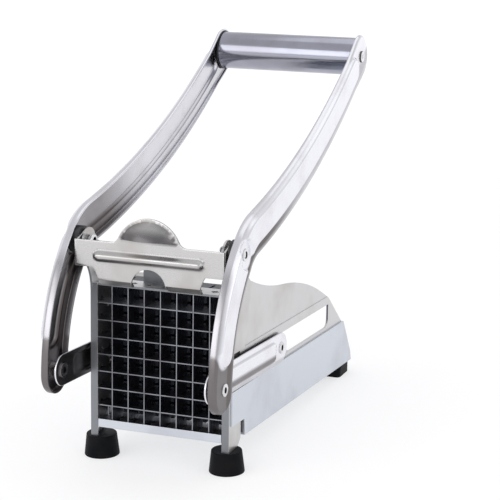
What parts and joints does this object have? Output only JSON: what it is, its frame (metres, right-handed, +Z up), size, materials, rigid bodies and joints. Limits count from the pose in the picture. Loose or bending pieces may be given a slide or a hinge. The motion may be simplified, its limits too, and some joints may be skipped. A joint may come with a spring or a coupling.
{
  "type": "french fry cutter",
  "caption": "Lever-operated french fry cutter in sheet steel: side arms with a tube handle pull a studded pusher towards a lift-out blade cassette behind a sprung gate.",
  "frame": {"origin": "on the table, under the middle of the object's bounding box", "axes": "+Z up, +Y from the blades towards the back and the handle, +X to the right of someone who faces the blades"},
  "size_m": [0.1038, 0.2486, 0.2093],
  "materials": {
    "polished_steel": "polished stainless sheet",
    "satin_steel": "satin stainless sheet, brushed upwards",
    "rivet_steel": "bright rivets and rods",
    "blade_steel": "ground blades with bright edges",
    "spring_steel": "spring wire",
    "black_nylon": "moulded, slightly shiny",
    "navy_plastic": "moulded, near black with a blue cast",
    "black_rubber": "matte"
  },
  "bodies": {
    "body": {"base_tray": "satin_steel", "side_plate_right": "satin_steel", "side_plate_left": "satin_steel", "front_foot_right": "black_rubber", "front_foot_left": "black_rubber", "rear_foot_right": "black_rubber", "rear_foot_left": "black_rubber", "rear_foot_rivets": "rivet_steel", "main_rivet_right": "rivet_steel", "main_rivet_left": "rivet_steel", "pivot_spacer_right": "black_nylon", "pivot_spacer_left": "black_nylon", "gate_spring_right": "spring_steel", "gate_spring_left": "spring_steel"},
    "gate": {"gate_plate": "satin_steel"},
    "lever": {"lever_arm_right": "polished_steel", "lever_arm_left": "polished_steel", "handle_tube": "polished_steel", "handle_cap_right": "black_nylon", "handle_cap_left": "black_nylon", "handle_rod": "rivet_steel", "link_rivet_right": "rivet_steel", "link_rivet_left": "rivet_steel", "link_collar_right": "rivet_steel", "link_collar_left": "rivet_steel"},
    "right_link": {"link_right": "polished_steel", "link_eye_rivet_right": "rivet_steel"},
    "left_link": {"link_left": "polished_steel", "link_eye_rivet_left": "rivet_steel"},
    "pusher": {"pusher_block": "navy_plastic", "pusher_carrier": "satin_steel", "pusher_axle": "rivet_steel", "slide_bush_right": "black_nylon", "slide_bush_left": "black_nylon", "pusher_rivets": "rivet_steel"},
    "cassette": {"cassette_frame": "satin_steel", "vertical_blades": "blade_steel", "horizontal_blades": "blade_steel"}
  },
  "joints": [
    {"name": "lever_swing", "type": "hinge", "parent": "body", "child": "lever", "pos_m": [0, -0.08365, 0.12093], "axis": [1, 0, 0], "range_deg": [-4, 70]},
    {"name": "pusher_slide", "type": "slide", "parent": "body", "child": "pusher", "axis": [0, 0.9986, -0.0523], "range_m": [-0.00445, 0.07622]},
    {"name": "link_swing_right", "type": "hinge", "parent": "lever", "child": "right_link", "pos_m": [0.0428, -0.11257, 0.05693], "axis": [1, 0, 0], "range_deg": [-81.47, 4.75]},
    {"name": "link_swing_left", "type": "hinge", "parent": "lever", "child": "left_link", "pos_m": [-0.0428, -0.11257, 0.05693], "axis": [1, 0, 0], "range_deg": [-81.47, 4.75]},
    {"name": "gate_swing", "type": "hinge", "parent": "body", "child": "gate", "pos_m": [0, -0.08365, 0.12093], "axis": [-1, 0, 0], "range_deg": [0, 40], "stiffness_Nm_per_rad": 0.04, "springref_deg": -17.19},
    {"name": "cassette_lift", "type": "slide", "parent": "body", "child": "cassette", "axis": [0, 0.0523, 0.9986], "range_m": [0, 0.1]}
  ],
  "couplings": [
    {"joint": "pusher_slide", "follows": "lever_swing", "m_per_rad": 0.062305},
    {"joint": "link_swing_right", "follows": "lever_swing", "ratio": -1.1625},
    {"joint": "link_swing_left", "follows": "lever_swing", "ratio": -1.1625}
  ]
}
